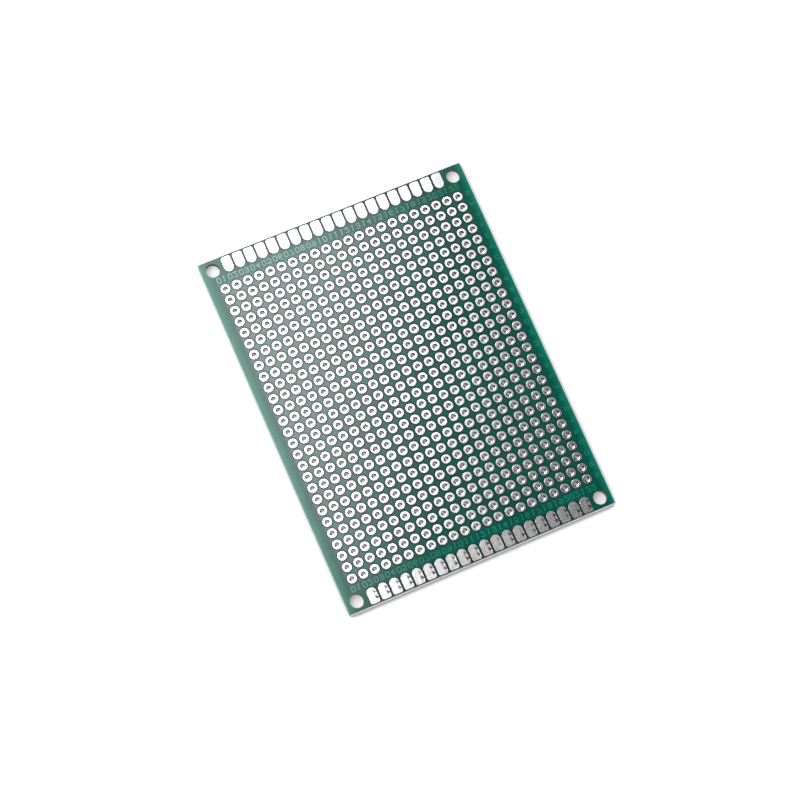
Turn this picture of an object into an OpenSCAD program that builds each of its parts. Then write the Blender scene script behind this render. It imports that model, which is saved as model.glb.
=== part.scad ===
// Bare double-sided prototyping board.
// A drilled glass-epoxy laminate carries a green solder mask on both faces, a
// 2.54 mm grid of tinned plated holes, and tinned edge fingers along both short
// sides. It lies flat: X across, Y along, +Z up, origin under its middle.

/* [Board] */
// Width of the board, along X
board_w = 60; // [60:0.5:80]
// Length of the board, along Y
board_l = 80; // [80:0.5:100]
// Thickness over the tinned pads of both faces
board_t = 1.6; // [1:0.1:2.4]
// Radius of the one handled corner, at -X -Y
worn_corner_r = 0.4; // [0.1:0.1:1]

/* [Scored short edges] */
// Depth of the V cut in each face, before the panel was snapped apart
score_depth = 0.45; // [0.2:0.05:0.45]
// How far each V cut bevels the edge back
score_back = 0.2; // [0.1:0.05:0.3]

/* [Hole grid] */
// Distance between neighbouring holes
pitch = 2.54; // [2.54]
// Holes across the board
columns = 22; // [8:1:22]
// Rows of holes along the board
rows = 27; // [4:1:27]
// Finished diameter of a plated hole
hole_d = 1.0; // [0.8:0.05:1.2]
// Wall of the plated barrel
plating_t = 0.05; // [0.03:0.01:0.08]
// Diameter of a pad
pad_d = 2.0; // [1.8:0.05:2.1]

/* [Edge fingers] */
// Width of a finger
finger_w = 2.1; // [1.6:0.05:2.2]
// Length of a finger
finger_l = 3.4; // [2.8:0.1:3.6]
// Radius of the two corners at a finger's outer end
finger_corner_r = 0.4; // [0.2:0.05:0.7]
// Bare laminate between a finger and the edge of the board
finger_inset = 0.45; // [0.35:0.05:0.6]

/* [Corner holes] */
// Diameter of a mounting hole
mount_d = 3; // [2.5:0.1:3.2]
// Distance from a hole's centre to the two edges beside it
mount_inset = 2.4; // [2.3:0.05:2.5]

/* [Copper and mask] */
// Height of copper and tin above the laminate
pad_rise = 0.06; // [0.05:0.01:0.1]
// Thickness of the solder mask
mask_t = 0.035; // [0.02:0.005:0.045]
// Gap between a pad and the mask around it
mask_gap = 0.1; // [0.05:0.01:0.15]

/* [Hidden] */
$fn = 32;
laminate_t = board_t - 2 * pad_rise;
laminate_z = pad_rise;
top_z = laminate_z + laminate_t;
face_l = board_l - 2 * score_back;
drill_d = hole_d + 2 * plating_t;
hole_lead = 0.06;
pad_slope = 0.14;
tin_step = 0.06;
copper_t = pad_rise / 2;
row_letters = "abcdefghijklmnopqrstuvwxyz";

// A row past the alphabet starts it again, with a number behind the letter
function row_name(row) =
    row < len(row_letters)
    ? str("plated_row_", row_letters[row])
    : str("plated_row_", row_letters[row - len(row_letters)], "2");
function grid_x(column) = (column - (columns - 1) / 2) * pitch;
function grid_y(row) = (row - (rows - 1) / 2) * pitch;

ROW_NAMES = [for (row = [0:rows - 1]) row_name(row)];

// Puts its children at every hole of the grid
module at_grid() {
    for (row = [0:rows - 1], column = [0:columns - 1])
        translate([grid_x(column), grid_y(row)])
            children();
}

// Puts its children at the four mounting holes
module at_corners() {
    for (side = [-1, 1], end = [-1, 1])
        translate([side * (board_w / 2 - mount_inset), end * (board_l / 2 - mount_inset)])
            children();
}

// Puts its children at the fingers of one end: on every column but the outer two,
// with the outer end of the finger on the child's origin and +Y pointing outwards
module at_fingers(end) {
    for (column = [1:columns - 2])
        translate([grid_x(column), end * (board_l / 2 - finger_inset)])
            rotate(end > 0 ? 0 : 180)
                children();
}

// Outline of the board, with its one rounded corner
module board_outline(length) {
    r = worn_corner_r;
    translate([-board_w / 2 + r, -length / 2])
        square([board_w - r, length]);
    translate([-board_w / 2, -length / 2 + r])
        square([board_w, length - r]);
    translate([-board_w / 2 + r, -length / 2 + r])
        circle(r = r);
}

// Outline of a finger that ends at y = 0: two small corners outside, half round inside
module finger_outline(w, l, corner_r) {
    translate([0, -l + w / 2])
        circle(d = w);
    translate([-w / 2, -l + w / 2])
        square([w, l - w / 2 - corner_r]);
    translate([-w / 2 + corner_r, -l + w / 2])
        square([w - 2 * corner_r, l - w / 2]);
    for (side = [-1, 1])
        translate([side * (w / 2 - corner_r), -corner_r])
            circle(r = corner_r);
}

// Section of the laminate along Y and Z, with the V-cut bevels of its short edges
module scored_section() {
    far_edge = [
        [face_l / 2, 0],
        [board_l / 2, score_depth],
        [board_l / 2, laminate_t - score_depth],
        [face_l / 2, laminate_t]
    ];
    last = len(far_edge) - 1;
    near_edge = [for (i = [0:last]) [-far_edge[last - i].x, far_edge[last - i].y]];
    polygon(concat(far_edge, near_edge));
}

// Glass-epoxy core: every hole is drilled through it
module laminate() {
    color("tan")
        translate([0, 0, laminate_z])
            intersection() {
                linear_extrude(laminate_t)
                    difference() {
                        board_outline(board_l);
                        at_grid() circle(d = drill_d);
                        at_corners() circle(d = mount_d);
                    }
                rotate([90, 0, 90])
                    linear_extrude(board_w + 2, center = true)
                        scored_section();
            }
}

// One sheet of solder mask, open over the pads, the mounting holes and the fingers
module solder_mask(z) {
    color("seagreen")
        translate([0, 0, z])
            linear_extrude(mask_t)
                difference() {
                    board_outline(face_l);
                    at_grid() circle(d = pad_d + 2 * mask_gap);
                    at_corners() circle(d = mount_d);
                    for (end = [-1, 1])
                        at_fingers(end) finger_window();
                }
}

// Mask opening of one finger: it runs out over the edge of the board
module finger_window() {
    w = finger_w + 2 * mask_gap;
    translate([0, -finger_l + finger_w / 2])
        circle(d = w);
    translate([-w / 2, -finger_l + finger_w / 2])
        square([w, finger_l]);
}

// A plated hole: the barrel through the laminate and a low tinned ring on each face
module plated_hole() {
    bore_r = hole_d / 2;
    pad_r = pad_d / 2;
    rotate_extrude()
        polygon([
            [bore_r, hole_lead],
            [bore_r + hole_lead, 0],
            [pad_r - pad_slope, 0],
            [pad_r, pad_rise - copper_t],
            [pad_r, pad_rise],
            [drill_d / 2, pad_rise],
            [drill_d / 2, board_t - pad_rise],
            [pad_r, board_t - pad_rise],
            [pad_r, board_t - pad_rise + copper_t],
            [pad_r - pad_slope, board_t],
            [bore_r + hole_lead, board_t],
            [bore_r, board_t - hole_lead]
        ]);
}

// One row of plated holes, as separate eyelets
module plated_row(row) {
    color("silver")
        for (column = [0:columns - 1])
            translate([grid_x(column), grid_y(row), 0])
                plated_hole();
}

// The fingers of one end and one face: copper with a slightly smaller tin cushion
module finger_row(end, top) {
    color("silver")
        translate([0, 0, top ? top_z : laminate_z])
            mirror([0, 0, top ? 0 : 1])
                at_fingers(end) {
                    linear_extrude(copper_t)
                        finger_outline(finger_w, finger_l, finger_corner_r);
                    translate([0, -tin_step, copper_t])
                        linear_extrude(pad_rise - copper_t)
                            finger_outline(
                                finger_w - 2 * tin_step,
                                finger_l - 2 * tin_step,
                                finger_corner_r - tin_step
                            );
                }
}

laminate();
solder_mask(top_z);  // mask_top
solder_mask(laminate_z - mask_t);  // mask_bottom
for (row = [0:rows - 1])
    plated_row(row);
finger_row(-1, true);  // fingers_top_near
finger_row(1, true);  // fingers_top_far
finger_row(-1, false);  // fingers_bottom_near
finger_row(1, false);  // fingers_bottom_far
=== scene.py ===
"""Looks of a bare double-sided prototyping board, lying on a pale table.

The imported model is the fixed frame: its laminate and its two sheets of solder mask are kept
and given their finish, and the tinned holes and edge fingers are modelled again as the
uneven cushions of tin that they are. The lettered legend is added on both faces.
"""

import math
import string

import bpy
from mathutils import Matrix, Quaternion, Vector


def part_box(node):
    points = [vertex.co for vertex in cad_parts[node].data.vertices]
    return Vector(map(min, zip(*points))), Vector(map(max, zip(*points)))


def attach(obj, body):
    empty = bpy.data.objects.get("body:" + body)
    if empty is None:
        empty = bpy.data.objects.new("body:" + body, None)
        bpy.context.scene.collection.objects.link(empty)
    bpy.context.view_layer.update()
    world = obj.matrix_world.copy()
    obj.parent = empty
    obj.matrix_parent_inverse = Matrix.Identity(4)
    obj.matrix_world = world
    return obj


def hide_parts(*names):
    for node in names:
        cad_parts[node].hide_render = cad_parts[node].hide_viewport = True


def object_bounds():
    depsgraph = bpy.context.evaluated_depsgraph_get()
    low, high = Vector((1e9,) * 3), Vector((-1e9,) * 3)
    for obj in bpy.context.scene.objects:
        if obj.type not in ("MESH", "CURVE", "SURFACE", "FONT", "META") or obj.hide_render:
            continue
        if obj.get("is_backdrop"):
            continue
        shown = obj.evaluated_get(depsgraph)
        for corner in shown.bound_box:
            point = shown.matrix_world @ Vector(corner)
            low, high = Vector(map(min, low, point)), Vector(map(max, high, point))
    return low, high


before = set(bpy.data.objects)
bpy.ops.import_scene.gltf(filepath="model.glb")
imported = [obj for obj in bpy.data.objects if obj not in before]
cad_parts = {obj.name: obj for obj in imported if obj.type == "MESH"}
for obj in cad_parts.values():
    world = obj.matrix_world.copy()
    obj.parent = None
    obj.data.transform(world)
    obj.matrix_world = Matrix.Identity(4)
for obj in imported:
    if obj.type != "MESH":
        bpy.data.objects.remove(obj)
cad_low, cad_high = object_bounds()
bpy.ops.object.select_all(action="DESELECT")

MM = 0.001


# ---------------------------------------------------------------------------
# Laminate: about 1.5 mm of woven glass cloth in epoxy, the core of the board.
# Every hole is drilled through it, its long edges are routed, and its short
# edges are scored from both faces and snapped.
# ---------------------------------------------------------------------------
def new_material(name):
    """A node material; returns it with its Principled shader."""
    material = bpy.data.materials.new(name)
    material.use_nodes = True
    return material, material.node_tree.nodes["Principled BSDF"]


def add_node(material, kind, inputs=None, **settings):
    """Adds a node. An input is a constant, or another node's output to link."""
    tree = material.node_tree
    node = tree.nodes.new(kind)
    for setting, value in settings.items():
        setattr(node, setting, value)
    for socket, value in (inputs or {}).items():
        if isinstance(value, bpy.types.NodeSocket):
            tree.links.new(value, node.inputs[socket])
        else:
            node.inputs[socket].default_value = value
    return node


def object_position(material):
    return add_node(material, "ShaderNodeTexCoord").outputs["Object"]


def split_axes(material, vector):
    """The three outputs of a vector, named X, Y and Z."""
    return add_node(material, "ShaderNodeSeparateXYZ", {0: vector}).outputs


def noise(material, position, feature, detail=2.0, roughness=0.5):
    """Soft noise whose blotches are about feature metres across, from 0 to 1."""
    inputs = {"Vector": position, "Scale": 1 / feature, "Detail": detail, "Roughness": roughness}
    return add_node(material, "ShaderNodeTexNoise", inputs).outputs["Fac"]


def stripes(material, position, axis, spacing, distortion=0.0):
    """Smooth stripes across an axis, spacing metres apart, from 0 to 1."""
    scale = math.tau / 20 / spacing  # the node's wave is 20 times as fast as a sine
    inputs = {"Vector": position, "Scale": scale, "Distortion": distortion}
    wave = add_node(material, "ShaderNodeTexWave", inputs, bands_direction=axis)
    return wave.outputs["Fac"]


def remap(material, value, low, high, to_low, to_high, smooth=False):
    """Takes low to to_low and high to to_high, and stops at both ends."""
    sockets = ("Value", "From Min", "From Max", "To Min", "To Max")
    inputs = dict(zip(sockets, (value, low, high, to_low, to_high)))
    kind = "SMOOTHSTEP" if smooth else "LINEAR"
    ramp = add_node(material, "ShaderNodeMapRange", inputs, interpolation_type=kind)
    return ramp.outputs["Result"]


def math_node(material, operation, first, second=0.0):
    inputs = {0: first, 1: second}
    return add_node(material, "ShaderNodeMath", inputs, operation=operation).outputs[0]


def inset_from_outline(material, position):
    """How far a point lies in from the nearest edge of the board."""
    places = split_axes(material, position)
    from_long_edge, from_short_edge = (
        math_node(material, "SUBTRACT", edge, math_node(material, "ABSOLUTE", places[axis]))
        for axis, edge in (("X", cad_high.x), ("Y", cad_high.y))
    )
    return math_node(material, "MINIMUM", from_long_edge, from_short_edge)


def blend_colours(material, share, first, second, blend_type="MIX"):
    """Mixes two colours; a colour is an RGB triple or another node's output."""

    def colour_input(colour):
        return (*colour, 1.0) if isinstance(colour, tuple) else colour

    mix = add_node(material, "ShaderNodeMix", data_type="RGBA", blend_type=blend_type)
    tree = material.node_tree
    for socket, value in ((0, share), (6, colour_input(first)), (7, colour_input(second))):
        if isinstance(value, bpy.types.NodeSocket):
            tree.links.new(value, mix.inputs[socket])
        else:
            mix.inputs[socket].default_value = value
    return mix.outputs[2]


def add_bump(material, shader, height, distance, strength=1.0):
    """Raises the surface by up to distance metres where height is 1."""
    inputs = {"Height": height, "Distance": distance, "Strength": strength}
    bump = add_node(material, "ShaderNodeBump", inputs)
    material.node_tree.links.new(bump.outputs["Normal"], shader.inputs["Normal"])


def set_input(material, shader, socket, value):
    if isinstance(value, bpy.types.NodeSocket):
        material.node_tree.links.new(value, shader.inputs[socket])
    else:
        shader.inputs[socket].default_value = value


# The bare faces are painted far darker than bare laminate, over the weave's own two tones: a
# painted shade for the narrow gaps round the pads and fingers.
RESIN_DARK = (0.014, 0.024, 0.018)
RESIN_PALE = (0.040, 0.058, 0.042)
SNAPPED_GLASS = (0.90, 0.92, 0.91)
SNAPPED_RESIN = (0.72, 0.75, 0.70)
# The long routed walls are painted dark green: a painted shade, with the green of light coming
# through the laminate painted in as well.
ROUTED_GLASS_SHADED = (0.17, 0.32, 0.28)
ROUTED_RESIN_SHADED = (0.11, 0.22, 0.18)
# The drilled walls are painted near black: painted shade inside the holes.
DRILLED_GLASS_SHADE = (0.050, 0.060, 0.056)
DRILLED_RESIN_SHADE = (0.022, 0.028, 0.026)
weave_pitch = 0.46 * MM
ply_t = 0.19 * MM
fray_l = 0.25 * MM
fray_rise = 0.03 * MM
edge_cut_w = 0.4 * MM  # a wall nearer the outline than this was routed or snapped
drilled_inset = 0.7 * MM  # a wall further in than this was drilled

glass_epoxy, shader = new_material("glass_epoxy")
position = object_position(glass_epoxy)
warp = stripes(glass_epoxy, position, "X", weave_pitch, 0.6)
weft = stripes(glass_epoxy, position, "Y", weave_pitch, 0.6)
weave = math_node(glass_epoxy, "MULTIPLY", warp, weft)
shaded_skin = blend_colours(glass_epoxy, weave, RESIN_DARK, RESIN_PALE)
plies = stripes(glass_epoxy, position, "Z", ply_t, 1.5)
fray = noise(glass_epoxy, position, fray_l, detail=4.0)
cut_share = math_node(glass_epoxy, "MULTIPLY", plies, fray)
snapped = blend_colours(glass_epoxy, cut_share, SNAPPED_GLASS, SNAPPED_RESIN)
routed = blend_colours(glass_epoxy, cut_share, ROUTED_GLASS_SHADED, ROUTED_RESIN_SHADED)
normal = add_node(glass_epoxy, "ShaderNodeNewGeometry").outputs["Normal"]
facing = split_axes(glass_epoxy, normal)
along_face = math_node(glass_epoxy, "ABSOLUTE", facing["Y"])
is_snapped = remap(glass_epoxy, along_face, 0.6, 0.9, 0.0, 1.0)
edge_cut = blend_colours(glass_epoxy, is_snapped, routed, snapped)
drilled = blend_colours(glass_epoxy, cut_share, DRILLED_GLASS_SHADE, DRILLED_RESIN_SHADE)
inset = inset_from_outline(glass_epoxy, position)
is_drilled = remap(glass_epoxy, inset, edge_cut_w, drilled_inset, 0.0, 1.0)
cut = blend_colours(glass_epoxy, is_drilled, edge_cut, drilled)
upright = math_node(glass_epoxy, "ABSOLUTE", facing["Z"])
is_cut = remap(glass_epoxy, upright, 0.6, 0.9, 1.0, 0.0)
set_input(glass_epoxy, shader, "Base Color", blend_colours(glass_epoxy, is_cut, shaded_skin, cut))
set_input(glass_epoxy, shader, "Roughness", remap(glass_epoxy, fray, 0.3, 0.7, 0.45, 0.75))
add_bump(glass_epoxy, shader, math_node(glass_epoxy, "MULTIPLY", fray, is_cut), fray_rise)
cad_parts["laminate"].data.materials.clear()
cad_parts["laminate"].data.materials.append(glass_epoxy)


# ---------------------------------------------------------------------------
# Solder mask: a glossy green lacquer, screened over both faces and baked. It
# is painted darker over the grid, a painted shade where the pads behind keep light
# out of the laminate, and painted brighter along the margins, a painted glow where
# light comes through.
# ---------------------------------------------------------------------------
COLUMNS = 22
row_names = [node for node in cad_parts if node.startswith("plated_row_")]
first_low, first_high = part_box("plated_row_a")
pad_r = (first_high.y - first_low.y) / 2
pitch = (first_high.x - first_low.x - 2 * pad_r) / (COLUMNS - 1)
field_half_x = first_high.x
field_half_y = max(abs(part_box(name)[0].y) for name in row_names)
contacts_low, contacts_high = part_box("fingers_top_far")
ring_in = pad_r + 0.15 * MM  # round each pad the mask is duller, and painted darker: a painted shade ring
ring_out = pad_r + 0.38 * MM
ring_shade = 0.55
clouds_l = 9 * MM
smears_l = 4 * MM
peel_l = 0.8 * MM
peel_rise = 0.002 * MM

GRID_GREEN = (0.003, 0.070, 0.055)
BAND_GREEN = (0.002, 0.070, 0.052)
EDGE_GLOW_GREEN = (0.003, 0.160, 0.106)
CONTACT_SHADE_GREEN = (0.001, 0.020, 0.016)


def lacquer(name, roughness, ior, grid_colour, band_colour, edge_glow_colour, contact_shade_colour):
    """Glossy lacquer, levelled but not quite flat; it pools between the pads."""
    material, shader = new_material(name)
    position = object_position(material)
    places = split_axes(material, position)
    across = math_node(material, "ABSOLUTE", places["X"])
    along = math_node(material, "ABSOLUTE", places["Y"])
    # the grid, the band round it, and the painted glow of the laminate along the long edges
    beside = math_node(material, "SUBTRACT", across, field_half_x)
    beyond = math_node(material, "SUBTRACT", along, field_half_y)
    out = math_node(material, "MAXIMUM", beside, beyond)
    band = remap(material, out, -0.4 * MM, 0.5 * MM, 0.0, 1.0, smooth=True)
    colour = blend_colours(material, band, grid_colour, band_colour)
    edge_glow = remap(material, beside, 0.8 * MM, 2.3 * MM, 0.0, 1.0)
    colour = blend_colours(material, edge_glow, colour, edge_glow_colour)
    # the narrow strips between the edge fingers, painted darkest: painted shade between the
    # contacts
    past_end = math_node(material, "SUBTRACT", along, contacts_low.y)
    in_line = math_node(material, "SUBTRACT", contacts_high.x, across)
    before_edge = math_node(material, "SUBTRACT", contacts_high.y + 0.3 * MM, along)
    among_contacts = math_node(material, "MINIMUM", past_end, in_line)
    among_contacts = math_node(material, "MINIMUM", among_contacts, before_edge)
    enclosed_shade = remap(material, among_contacts, -0.1 * MM, 0.7 * MM, 0.0, 1.0, smooth=True)
    colour = blend_colours(material, enclosed_shade, colour, contact_shade_colour)
    # the painted shade ring round each pad
    from_column = math_node(material, "SUBTRACT", places["X"], pitch / 2)
    nearest = {
        "X": math_node(material, "PINGPONG", from_column, pitch / 2),
        "Y": math_node(material, "PINGPONG", places["Y"], pitch / 2),
    }
    to_pad = add_node(material, "ShaderNodeCombineXYZ", nearest).outputs[0]
    distance = add_node(material, "ShaderNodeVectorMath", {0: to_pad}, operation="LENGTH")
    from_pad = distance.outputs["Value"]
    past_ring = remap(material, from_pad, ring_in, ring_out, 0.0, 1.0, smooth=True)
    past_grid = remap(material, out, 0.2 * MM, 0.3 * MM, 0.0, 1.0)
    clear = math_node(material, "MAXIMUM", past_ring, past_grid)
    clouds = noise(material, position, clouds_l, detail=3.0)
    shade = remap(material, clouds, 0.3, 0.7, 0.88, 1.12)
    ring = remap(material, clear, 0.0, 1.0, ring_shade, 1.0)
    shade = math_node(material, "MULTIPLY", shade, ring)
    colour = blend_colours(material, 1.0, colour, shade, "MULTIPLY")
    set_input(material, shader, "Base Color", colour)
    smears = noise(material, position, smears_l, detail=4.0)
    gloss = remap(material, smears, 0.3, 0.7, roughness - 0.025, roughness + 0.025)
    set_input(material, shader, "Roughness", gloss)
    set_input(material, shader, "IOR", ior)
    coat = remap(material, band, 0.0, 1.0, 0.7, 0.0)
    set_input(material, shader, "Coat Weight", math_node(material, "MULTIPLY", coat, clear))
    set_input(material, shader, "Coat Roughness", 0.12)
    peel = noise(material, position, peel_l, detail=1.0)
    add_bump(material, shader, peel, peel_rise)
    return material


mask_greens = (GRID_GREEN, BAND_GREEN, EDGE_GLOW_GREEN, CONTACT_SHADE_GREEN)
mask_lacquer = lacquer("mask_lacquer", 0.115, 1.52, *mask_greens)
for name in ("mask_top", "mask_bottom"):
    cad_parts[name].data.materials.clear()
    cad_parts[name].data.materials.append(mask_lacquer)


# ---------------------------------------------------------------------------
# Legend: column numbers along both short edges and row letters along one long
# edge, drawn as copper traces of one width and covered by the mask, so they
# show as low paler ridges. Both faces have one layout, which reads from below.
# ---------------------------------------------------------------------------
mark_w = 0.98 * MM
mark_gap = 0.22 * MM
number_h = 1.28 * MM
letter_h = 1.10 * MM
trace_w = 0.22 * MM
trace_rise = 0.016 * MM
trace_overlap = 0.3  # how far a trace runs past its corner, in its own widths
lift_step = 0.003 * MM  # before the traces are flattened; no two that cross lie level
lift_steps = 15
number_y = 35.12 * MM
letter_x = 28.97 * MM
LEGEND_GREEN = (0.007, 0.172, 0.122)
STROKES = {  # corners on a grid of 4 by 6, as the pen meets them
    "0": "10 01 05 16 36 45 41 30 10",
    "1": "15 26 20, 10 30",
    "2": "05 16 36 45 44 00 40",
    "3": "05 16 36 45 44 33 13, 33 42 41 30 10 01",
    "4": "30 36 02 42",
    "5": "46 06 04 34 43 41 30 10 01",
    "6": "46 26 04 01 10 30 41 42 33 13 02",
    "7": "06 46 45 10",
    "8": "13 04 05 16 36 45 44 33 13 02 01 10 30 41 42 33",
    "9": "00 20 42 45 36 16 05 04 13 33 44",
    "A": "00 04 26 44 40, 02 42",
    "B": "00 06 36 45 44 33 03, 33 42 41 30 00",
    "C": "45 36 16 05 01 10 30 41",
    "D": "00 06 36 45 41 30 00",
    "E": "46 06 00 40, 03 33",
    "F": "46 06 00, 03 33",
    "G": "45 36 16 05 01 10 30 41 43 23",
    "H": "06 00, 46 40, 03 43",
    "I": "16 36, 26 20, 10 30",
    "J": "26 46, 36 31 20 10 01",
    "K": "06 00, 46 03 40",
    "L": "06 00 40",
    "M": "00 06 24 46 40",
    "N": "00 06 40 46",
    "O": "10 01 05 16 36 45 41 30 10",
    "P": "00 06 36 45 44 33 03",
    "Q": "10 01 05 16 36 45 41 30 10, 22 40",
    "R": "00 06 36 45 44 33 03, 13 40",
    "S": "45 36 16 05 04 13 33 42 41 30 10 01",
    "T": "06 46, 26 20",
    "U": "06 01 10 30 41 46",
    "V": "06 02 20 42 46",
    "W": "06 00 22 40 46",
    "X": "00 46, 06 40",
    "Y": "06 23 46, 23 20",
    "Z": "06 46 00 40",
}

column_xs = [(column - (COLUMNS - 1) / 2) * pitch for column in range(COLUMNS)]
row_ys = sorted(sum(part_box(name), Vector()).y / 2 for name in row_names)
letters = [string.ascii_uppercase[row % 26] for row in range(len(row_ys))]
mask_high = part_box("mask_top")[1].z
mask_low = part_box("mask_bottom")[0].z


def mark_strokes(characters, middle, reading, upright, height):
    """The strokes of one mark, as lists of points on the mask.

    reading is the way the line is read, and upright the way the characters stand.
    """
    width = len(characters) * mark_w + (len(characters) - 1) * mark_gap - trace_w
    strokes = []
    for place, character in enumerate(characters):
        start = place * (mark_w + mark_gap) - width / 2
        for stroke in STROKES[character].split(", "):
            corners = [(int(x) / 4, int(y) / 6 - 0.5) for x, y in stroke.split()]
            strokes.append([
                middle
                + reading * (start + share * (mark_w - trace_w))
                + upright * rise * (height - trace_w)
                for share, rise in corners
            ])
    return strokes


def draw_traces(strokes):
    """Low flat traces, one along each straight part of the strokes."""
    drawing = bpy.data.curves.new("legend", "CURVE")
    drawing.dimensions = "3D"
    drawing.twist_mode = "Z_UP"
    drawing.bevel_depth = trace_w / math.sqrt(2)
    drawing.bevel_resolution = 0
    drawing.use_fill_caps = True
    parts = [ends for stroke in strokes for ends in zip(stroke, stroke[1:])]
    for number, (start, end) in enumerate(parts):
        overlap = (end - start).normalized() * trace_w * trace_overlap
        lift = Vector((0, 0, number % lift_steps * lift_step))
        spline = drawing.splines.new("POLY")
        spline.points.add(1)
        for point, place in zip(spline.points, (start - overlap, end + overlap)):
            point.co = (*(place + lift), 1.0)
            point.tilt = math.radians(45)
    traces = bpy.data.objects.new("legend", drawing)
    bpy.context.collection.objects.link(traces)
    bpy.ops.object.select_all(action="DESELECT")
    traces.select_set(True)
    bpy.context.view_layer.objects.active = traces
    bpy.ops.object.convert(target="MESH")
    bpy.ops.object.shade_flat()
    traces = bpy.context.object
    traces.scale.z = 2 * trace_rise / trace_w
    traces.location.z = mask_high
    bpy.ops.object.transform_apply(location=True, rotation=False, scale=True)
    return traces


def finish_piece(piece, name, material, slot_name, *replaced):
    """Names a finished piece, gives it its finish and lets it ride on the board."""
    piece.name = name
    piece.data.name = name
    piece.data.materials.clear()
    piece.data.materials.append(material)
    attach(piece, "root")
    if replaced:
        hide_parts(*replaced)


def copy_piece(piece, shift):
    """A copy with its own mesh, moved by shift, with its place in its mesh."""
    bpy.ops.object.select_all(action="DESELECT")
    piece.select_set(True)
    bpy.context.view_layer.objects.active = piece
    bpy.ops.object.duplicate()
    bpy.ops.transform.translate(value=shift)
    bpy.ops.object.transform_apply(location=True, rotation=False, scale=False)
    return bpy.context.object


legend_lacquer = lacquer("legend_lacquer", 0.10, 1.85, *(LEGEND_GREEN,) * 4)
ACROSS = Vector((1, 0, 0))
ALONG = Vector((0, 1, 0))
legend_lines = {"column_numbers_near": [], "column_numbers_far": [], "row_letters": []}
for column, x in enumerate(column_xs):
    number = f"{column + 1:02d}"
    for line, y in (("column_numbers_near", -number_y), ("column_numbers_far", number_y)):
        middle = Vector((x, y, 0))
        legend_lines[line] += mark_strokes(number, middle, ACROSS, -ALONG, number_h)
for letter, y in zip(letters, row_ys):
    middle = Vector((letter_x, y, 0))
    legend_lines["row_letters"] += mark_strokes(letter, middle, ALONG, ACROSS, letter_h)
for name, strokes in legend_lines.items():
    top_line = draw_traces(strokes)
    bottom_line = copy_piece(top_line, (0, 0, mask_low - mask_high))
    finish_piece(top_line, f"{name}_top", legend_lacquer, "solder_mask")
    finish_piece(bottom_line, f"{name}_bottom", legend_lacquer, "solder_mask")


# ---------------------------------------------------------------------------
# Plated holes: copper eyelets through the laminate, dipped in tin and blown
# level with hot air, so each pad is a low uneven cushion round its hole. One
# eyelet is modelled, and copied along each of the rows.
# ---------------------------------------------------------------------------
eyelet_sides = 12
half_t = (cad_high.z - cad_low.z) / 2 / MM  # this and the next sizes are in millimetres
barrel_r = 0.43
barrel_x = 0.05  # the tin has run to one side of the barrel
barrel_y = 0.08
barrel_z = half_t - 0.10
drill_r = 0.55
foot_z = half_t - 0.06
foot_r = pad_r / MM + 0.01
mouth_r = 0.53
lip_r = 0.60
edge_r = 0.955
rim_t = 0.012
# the radius and height of each ring of the cushion, and how far the blast of
# air has moved it along X and Y
mouth_ring = (mouth_r, half_t - 0.052, 0.0, 0.0)
lip_ring = (lip_r, half_t - 0.023, -0.045, -0.06)
edge_ring = (edge_r, half_t - 0.024, 0.0, 0.0)
foot_rings = ((foot_r, foot_z + rim_t, 0.0, 0.0), (drill_r, foot_z, 0.0, 0.0))
tin_z = half_t - 0.03
tin_lean = (math.radians(0.4), math.radians(1.3))  # about X and Y
soft_angle = math.radians(62)
pad_sink = 0.010
board_mid = Vector((0, 0, (cad_low.z + cad_high.z) / 2))

TINY = 0.001  # millimetres; the margin when vertices of one level are picked

TIN = (0.80, 0.79, 0.80)
TIN_DULL = (0.62, 0.60, 0.63)
# painted shade: the tin is painted near black down inside the barrels
BARREL_TIN_SHADE = (0.07, 0.067, 0.073)


def tinned(name, blotch, roughness, ripple_rise, dark_z, bright_z, dark_colour):
    """Hot-air levelled tin: bright, with dull blotches and fine ripples.

    It darkens to dark_colour from bright_z down to dark_z, in millimetres off the
    middle of the board: a painted shade down the holes, and a painted dark
    reflection where the tin on the fingers lies low.
    """
    material, shader = new_material(name)
    position = object_position(material)
    blotches = noise(material, position, blotch, detail=3.0, roughness=0.6)
    dull = remap(material, blotches, 0.45, 0.75, 0.0, 1.0)
    height = math_node(material, "SUBTRACT", split_axes(material, position)["Z"], board_mid.z)
    height = math_node(material, "ABSOLUTE", height)
    deep = remap(material, height, dark_z * MM, bright_z * MM, 1.0, 0.0)
    colour = blend_colours(material, dull, TIN, TIN_DULL)
    set_input(material, shader, "Base Color", blend_colours(material, deep, colour, dark_colour))
    set_input(material, shader, "Metallic", 1.0)
    gloss = remap(material, blotches, 0.3, 0.7, roughness - 0.02, roughness + 0.02)
    set_input(material, shader, "Roughness", gloss)
    ripples = noise(material, position, 0.35 * MM, detail=2.0)
    add_bump(material, shader, ripples, ripple_rise)
    return material


def start_edit(obj):
    """Opens a piece in edit mode with nothing selected."""
    bpy.ops.object.select_all(action="DESELECT")
    bpy.context.view_layer.objects.active = obj
    obj.select_set(True)
    bpy.ops.object.mode_set(mode="EDIT")
    bpy.ops.mesh.select_mode(type="VERT")
    bpy.ops.mesh.select_all(action="DESELECT")


def pick_vertices(obj, wanted):
    """Selects the vertices whose place wanted() accepts, in edit mode."""
    bpy.ops.mesh.select_all(action="DESELECT")
    bpy.ops.object.mode_set(mode="OBJECT")
    for vertex in obj.data.vertices:
        vertex.select = wanted(vertex.co)
    bpy.ops.object.mode_set(mode="EDIT")


def to_scale(piece):
    """Shrinks a piece that was modelled in millimetres to metres."""
    bpy.ops.object.mode_set(mode="OBJECT")
    piece.scale = (MM, MM, MM)
    bpy.ops.object.transform_apply(location=False, rotation=False, scale=True)


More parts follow.
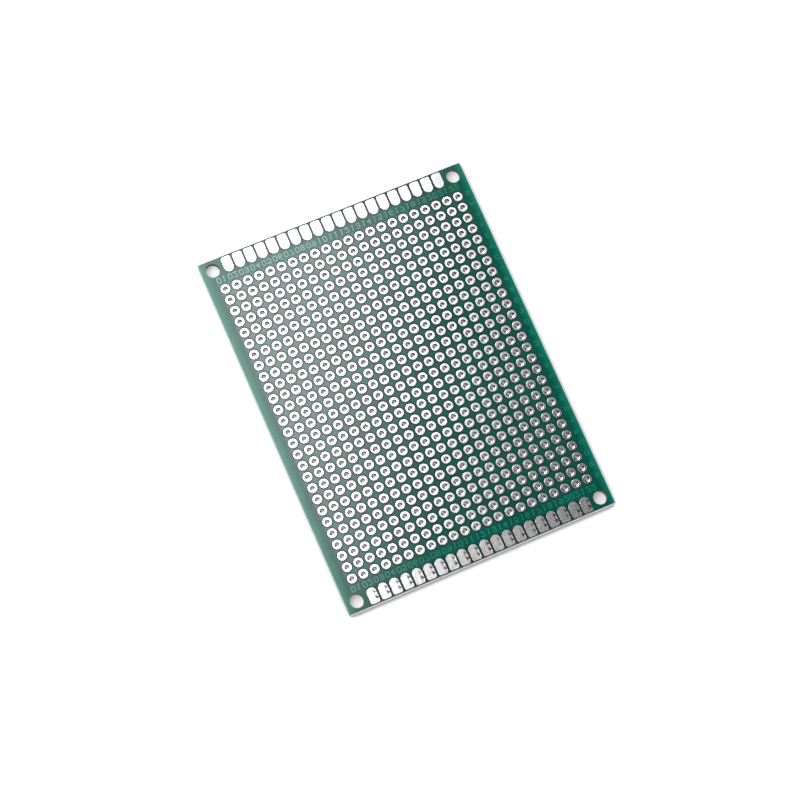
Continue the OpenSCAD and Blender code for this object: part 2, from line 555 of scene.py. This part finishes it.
def apply_modifier(piece, kind, **settings):
    modifier = piece.modifiers.new(kind.lower(), kind)
    for setting, value in settings.items():
        setattr(modifier, setting, value)
    bpy.context.view_layer.objects.active = piece
    bpy.ops.object.modifier_apply(modifier=modifier.name)


def repeat_along_row(piece, count):
    apply_modifier(
        piece,
        "ARRAY",
        count=count,
        use_relative_offset=False,
        use_constant_offset=True,
        constant_offset_displace=(pitch, 0, 0),
    )


def unsettle(piece, texture, depth, group):
    """Sinks a group of the vertices by up to depth, unevenly."""
    apply_modifier(
        piece,
        "DISPLACE",
        texture=texture,
        texture_coords="GLOBAL",
        direction="NORMAL",
        strength=depth,
        mid_level=1.0,
        vertex_group=group,
    )


def cloud_texture(name, feature, depth):
    texture = bpy.data.textures.new(name, "CLOUDS")
    texture.noise_scale = feature
    texture.noise_depth = depth
    return texture


bpy.ops.mesh.primitive_cylinder_add(
    vertices=eyelet_sides,
    radius=barrel_r,
    depth=2 * barrel_z,
    end_fill_type="NOTHING",
    location=(barrel_x, barrel_y, 0),
)
eyelet = bpy.context.object
bpy.ops.object.transform_apply(location=True, rotation=False, scale=False)
start_edit(eyelet)
for face in (1, -1):
    pick_vertices(eyelet, lambda co: co.z * face > 0 and co.xy.length < drill_r - rim_t)
    last_r, last_z, last_x, last_y = barrel_r, barrel_z, barrel_x, barrel_y
    for ring in (mouth_ring, lip_ring, edge_ring, *foot_rings):
        ring_r, ring_z, ring_x, ring_y = ring
        bpy.ops.mesh.extrude_edges_move()
        growth = ring_r / last_r
        middle = (last_x, last_y, 0)
        bpy.ops.transform.resize(value=(growth, growth, 1), center_override=middle)
        move = (ring_x - last_x, ring_y - last_y, face * (ring_z - last_z))
        bpy.ops.transform.translate(value=move)
        last_r, last_z, last_x, last_y = ring
pick_vertices(
    eyelet, lambda co: abs(co.xy.length - drill_r) < rim_t and abs(co.z) < foot_z + TINY
)
bpy.ops.mesh.bridge_edge_loops()
bpy.ops.mesh.select_all(action="SELECT")
bpy.ops.mesh.normals_make_consistent(inside=False)
bpy.ops.object.mode_set(mode="OBJECT")
bpy.ops.object.shade_smooth_by_angle(angle=soft_angle)
start_edit(eyelet)
pick_vertices(eyelet, lambda co: abs(co.xy.length - edge_r) < rim_t)
bpy.ops.mesh.mark_sharp()
# the mouth rolls over softly on the side that the air has blown the tin to
for ring, soft_y in ((mouth_ring, -0.2), (lip_ring, -1.0)):
    ring_middle = Vector(ring[2:])
    pick_vertices(
        eyelet,
        lambda co: abs((co.xy - ring_middle).length - ring[0]) < rim_t
        and abs(co.z) > barrel_z + rim_t
        and co.y > soft_y,
    )
    bpy.ops.mesh.mark_sharp()
eyelet.vertex_groups.new(name="tin")
pick_vertices(eyelet, lambda co: abs(co.z) > tin_z)
bpy.ops.object.vertex_group_assign()
for face in (1, -1):
    pick_vertices(eyelet, lambda co: co.z * face > tin_z)
    for axis, lean in (("X", -tin_lean[0]), ("Y", tin_lean[1])):
        bpy.ops.transform.rotate(
            value=lean * face, orient_axis=axis, center_override=(0, 0, face * half_t)
        )
to_scale(eyelet)
repeat_along_row(eyelet, COLUMNS)

settling = cloud_texture("settling", 1.6 * MM, 1)
pad_tin = tinned(
    "pad_tin", 0.5 * MM, 0.20, 0.0010 * MM, half_t - 0.16, half_t - 0.05, BARREL_TIN_SHADE
)
for name in row_names:
    low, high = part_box(name)
    row = copy_piece(eyelet, (column_xs[0], (low.y + high.y) / 2, board_mid.z))
    unsettle(row, settling, pad_sink * MM, "tin")
    finish_piece(row, f"tinned_{name}", pad_tin, "tinned_copper", name)
bpy.data.objects.remove(eyelet)


# ---------------------------------------------------------------------------
# Edge fingers: flat copper contacts along both short edges, half round at
# their inner ends, under the same tin. The wider the pad, the more the tin
# gathers in ridges and hollows as it sets.
# ---------------------------------------------------------------------------
finger_w = 2.1  # this and the next sizes are in millimetres
finger_l = 3.4
finger_corner_r = 0.4
copper_t = 0.016
rim_w = 0.05
tin_rise = 0.042
tin_top = copper_t + tin_rise
round_segments = 7
corner_segments = 3
edge_cells = 8  # faces along each straight side
tin_cells = 10  # faces across the top, which is a grid so that it can sink unevenly
ridge_sink = 0.012
# in two places on each near finger the tin has drawn back from the right-hand
# edge; a column of vertices there has a lowest and a highest x and its share of the sink
drawn_back_ys = (-1.02, -2.25)
drawn_back_l = 0.5
drawn_back_columns = ((0.60, 0.75, 0.7), (0.75, 0.95, 1.0), (0.95, 1.10, 0.6))
drawn_back_sink = 0.044
pinched_xs = (0.4, 0.5)  # the column before them moves up to them, for a steeper side
pinch = 0.10
crisp_angle = math.radians(30)

# painted dark reflection: the tin is painted dark where it lies low, as in the drawn-back places
SUNK_TIN_DARK_REFLECTION = (0.10, 0.096, 0.106)

far_low, far_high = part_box("fingers_top_far")
bpy.ops.mesh.primitive_plane_add(size=finger_w, location=(0, -finger_l / 2, 0))
finger = bpy.context.object
bpy.ops.object.transform_apply(location=True, rotation=False, scale=False)
start_edit(finger)
bpy.ops.mesh.select_all(action="SELECT")
bpy.ops.transform.resize(
    value=(1, finger_l / finger_w, 1), center_override=(0, -finger_l / 2, 0)
)
pick_vertices(finger, lambda co: co.y < -finger_l / 2)
bpy.ops.mesh.bevel(offset=finger_w / 2 - TINY, segments=round_segments, affect="VERTICES")
pick_vertices(finger, lambda co: co.y > -TINY)
bpy.ops.mesh.bevel(offset=finger_corner_r, segments=corner_segments, affect="VERTICES")
bpy.ops.mesh.select_all(action="SELECT")
bpy.ops.mesh.remove_doubles(threshold=0.01)
bpy.ops.mesh.select_all(action="DESELECT")
bpy.ops.object.mode_set(mode="OBJECT")
for edge in finger.data.edges:  # the straight sides are its only long ones
    ends = [finger.data.vertices[index].co for index in edge.vertices]
    edge.select = (ends[0] - ends[1]).length > finger_w / 3
bpy.ops.object.mode_set(mode="EDIT")
bpy.ops.mesh.select_mode(type="EDGE")
bpy.ops.mesh.subdivide(number_cuts=edge_cells - 1)
bpy.ops.mesh.select_mode(type="FACE")
bpy.ops.mesh.select_all(action="SELECT")
bpy.ops.mesh.extrude_region_move(TRANSFORM_OT_translate={"value": (0, 0, copper_t)})
bpy.ops.mesh.inset(thickness=rim_w)
bpy.ops.transform.translate(value=(0, 0, tin_rise))
bpy.ops.mesh.delete(type="ONLY_FACE")
bpy.ops.mesh.select_mode(type="VERT")
pick_vertices(finger, lambda co: co.z > tin_top - TINY)
bpy.ops.mesh.mark_sharp()
bpy.ops.mesh.fill_grid(span=tin_cells, offset=1)
bpy.ops.mesh.select_mode(type="EDGE")
bpy.ops.mesh.select_all(action="DESELECT")
bpy.ops.mesh.select_non_manifold()
bpy.ops.mesh.edge_face_add()
bpy.ops.mesh.select_all(action="SELECT")
bpy.ops.mesh.normals_make_consistent(inside=False)
bpy.ops.mesh.select_mode(type="VERT")
finger.vertex_groups.new(name="tin")
pick_vertices(finger, lambda co: co.z > tin_top - TINY)
bpy.ops.object.vertex_group_assign()
finger.vertex_groups.new(name="drawn_back")
finger.vertex_groups.active_index = 1


def pick_drawn_back(middle, low_x, high_x):
    """Selects the finger's top vertices between two x, round one drawn-back place."""
    pick_vertices(
        finger,
        lambda co: co.z > tin_top - TINY
        and low_x < co.x < high_x
        and abs(co.y - middle) < drawn_back_l / 2,
    )


for middle in drawn_back_ys:
    pick_drawn_back(middle, *pinched_xs)
    bpy.ops.transform.translate(value=(pinch, 0, 0))
    for low_x, high_x, share in drawn_back_columns:
        pick_drawn_back(middle, low_x, high_x)
        bpy.context.scene.tool_settings.vertex_group_weight = share
        bpy.ops.object.vertex_group_assign()
to_scale(finger)
repeat_along_row(finger, COLUMNS - 2)

ridges = cloud_texture("ridges", 0.9 * MM, 1)
sags = cloud_texture("sags", 1.1 * MM, 1)
sags.contrast = 3.0
sags.intensity = 0.5
sags.use_clamp = True
finger_tin = tinned(
    "finger_tin", 0.4 * MM, 0.24, 0.0007 * MM, half_t - 0.037, half_t - 0.018, SUNK_TIN_DARK_REFLECTION
)
for end, end_name in ((1, "far"), (-1, "near")):
    for side, side_name in ((1, "top"), (-1, "bottom")):
        fingers = copy_piece(finger, (column_xs[1], far_high.y, far_low.z))
        start_edit(fingers)
        bpy.ops.mesh.select_all(action="SELECT")
        bpy.ops.transform.resize(value=(1, end, side), center_override=board_mid)
        if end * side < 0:
            bpy.ops.mesh.flip_normals()
        bpy.ops.object.mode_set(mode="OBJECT")
        unsettle(fingers, ridges, ridge_sink * MM, "tin")
        if end_name == "near":
            unsettle(fingers, sags, drawn_back_sink * MM, "drawn_back")
        bpy.ops.object.select_all(action="DESELECT")
        fingers.select_set(True)
        bpy.ops.object.shade_smooth_by_angle(angle=crisp_angle)
        node = f"fingers_{side_name}_{end_name}"
        finish_piece(fingers, f"tinned_{node}", finger_tin, "tinned_copper", node)
bpy.data.objects.remove(finger)


# ---------------------------------------------------------------------------
# Table, studio light and camera: a white table, a wide soft light high over
# the left of the board, a small soft light at its left, and a white room whose
# ceiling is dark.
# ---------------------------------------------------------------------------
table_size = 6.0
TABLE_GLOW = 0.8  # it is lit all round, apart from the board's own shadow
PAINTED_HOLE_GLOW = 0.24  # a painted glow of the table under the board, seen through the holes
shadow_l = 4 * MM
WHITE_PAINT = (0.62, 0.62, 0.62)

bpy.ops.mesh.primitive_plane_add(size=table_size, location=(0, 0, cad_low.z))
table = bpy.context.object
table.name = "table"
table_paint, shader = new_material("table_paint")
set_input(table_paint, shader, "Base Color", (*WHITE_PAINT, 1.0))
set_input(table_paint, shader, "Roughness", 0.9)
set_input(table_paint, shader, "Specular IOR Level", 0.0)
rays = add_node(table_paint, "ShaderNodeLightPath").outputs
seen = math_node(table_paint, "MAXIMUM", rays["Is Camera Ray"], rays["Is Glossy Ray"])
seen = math_node(table_paint, "MAXIMUM", seen, rays["Is Transmission Ray"])
openness = add_node(table_paint, "ShaderNodeAmbientOcclusion", {"Distance": shadow_l}, samples=8)
glow = remap(table_paint, openness.outputs["AO"], 0.60, 0.95, 0.0, TABLE_GLOW)
inset = inset_from_outline(table_paint, object_position(table_paint))
painted_hole_light = remap(table_paint, inset, 0.3 * MM, 0.8 * MM, 0.0, PAINTED_HOLE_GLOW)
glow = math_node(table_paint, "ADD", glow, painted_hole_light)
set_input(table_paint, shader, "Emission Color", (1.0, 1.0, 1.0, 1.0))
set_input(table_paint, shader, "Emission Strength", math_node(table_paint, "MULTIPLY", seen, glow))
table.data.materials.append(table_paint)
table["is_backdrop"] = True

WALL_GREY = 0.75
CEILING_GREY = 0.03

world = bpy.data.worlds.new("room")
world.use_nodes = True
bpy.context.scene.world = world
background = world.node_tree.nodes["Background"]
direction = add_node(world, "ShaderNodeTexCoord").outputs["Generated"]
rise = split_axes(world, direction)["Z"]
room = remap(world, rise, 0.30, 0.78, WALL_GREY, CEILING_GREY, smooth=True)
world.node_tree.links.new(room, background.inputs["Color"])
background.inputs["Strength"].default_value = 1.0


def add_softbox(name, place, width, length, radiance):
    """A rectangular soft light that faces straight down, of an even radiance."""
    bpy.ops.object.light_add(type="AREA", location=place)
    light = bpy.context.object
    light.name = name
    light.data.shape = "RECTANGLE"
    light.data.size = width
    light.data.size_y = length
    light.data.energy = radiance * math.pi * width * length
    return light


overhead_w = 0.55
overhead_l = 0.75
overhead_fade = 0.065
overhead_edge = Vector((0.112, 0.087, 0.50))  # the middle of its right-hand edge
overhead_turn = math.radians(-28)
overhead_across = Vector((-math.cos(overhead_turn), -math.sin(overhead_turn), 0))
overhead_place = overhead_edge + overhead_across * overhead_w / 2
overhead = add_softbox("overhead_softbox", overhead_place, overhead_w, overhead_l, 3.8)
overhead.rotation_euler = (0, 0, overhead_turn)
overhead.data.use_nodes = True
# its light fades out towards its right-hand edge
over_lamp = add_node(overhead.data, "ShaderNodeNewGeometry").outputs["Parametric"]
across_lamp = split_axes(overhead.data, over_lamp)["X"]
fade_start = 1.0 - overhead_fade / overhead_w
strength = remap(overhead.data, across_lamp, fade_start, 1.0, 1.0, 0.0, smooth=True)
lamp = overhead.data.node_tree.nodes["Emission"]
overhead.data.node_tree.links.new(strength, lamp.inputs["Strength"])

left_place = Vector((-0.17, 0.06, 0.13))
left = add_softbox("left_softbox", left_place, 0.12, 0.12, 3.0)
left.rotation_mode = "QUATERNION"
left.rotation_quaternion = (-left_place).to_track_quat("-Z", "Y")

camera_place = Vector((-92.1, -86.5, 497.8)) * MM
camera_aim = Vector((-2.56, -2.68, 1.6)) * MM
camera_roll = math.radians(23.7)
bpy.ops.object.camera_add(location=camera_place)
camera = bpy.context.object
camera.data.sensor_width = 36.0
camera.data.lens = 110.9
camera.data.clip_start = 0.01
camera.data.clip_end = 20.0
level_view = (camera_aim - camera_place).to_track_quat("-Z", "Y")
camera.rotation_mode = "QUATERNION"
camera.rotation_quaternion = level_view @ Quaternion((0, 0, 1), camera_roll)
bpy.context.view_layer.update()
bpy.context.scene.camera = camera
bpy.context.scene.view_settings.view_transform = "Standard"

low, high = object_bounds()
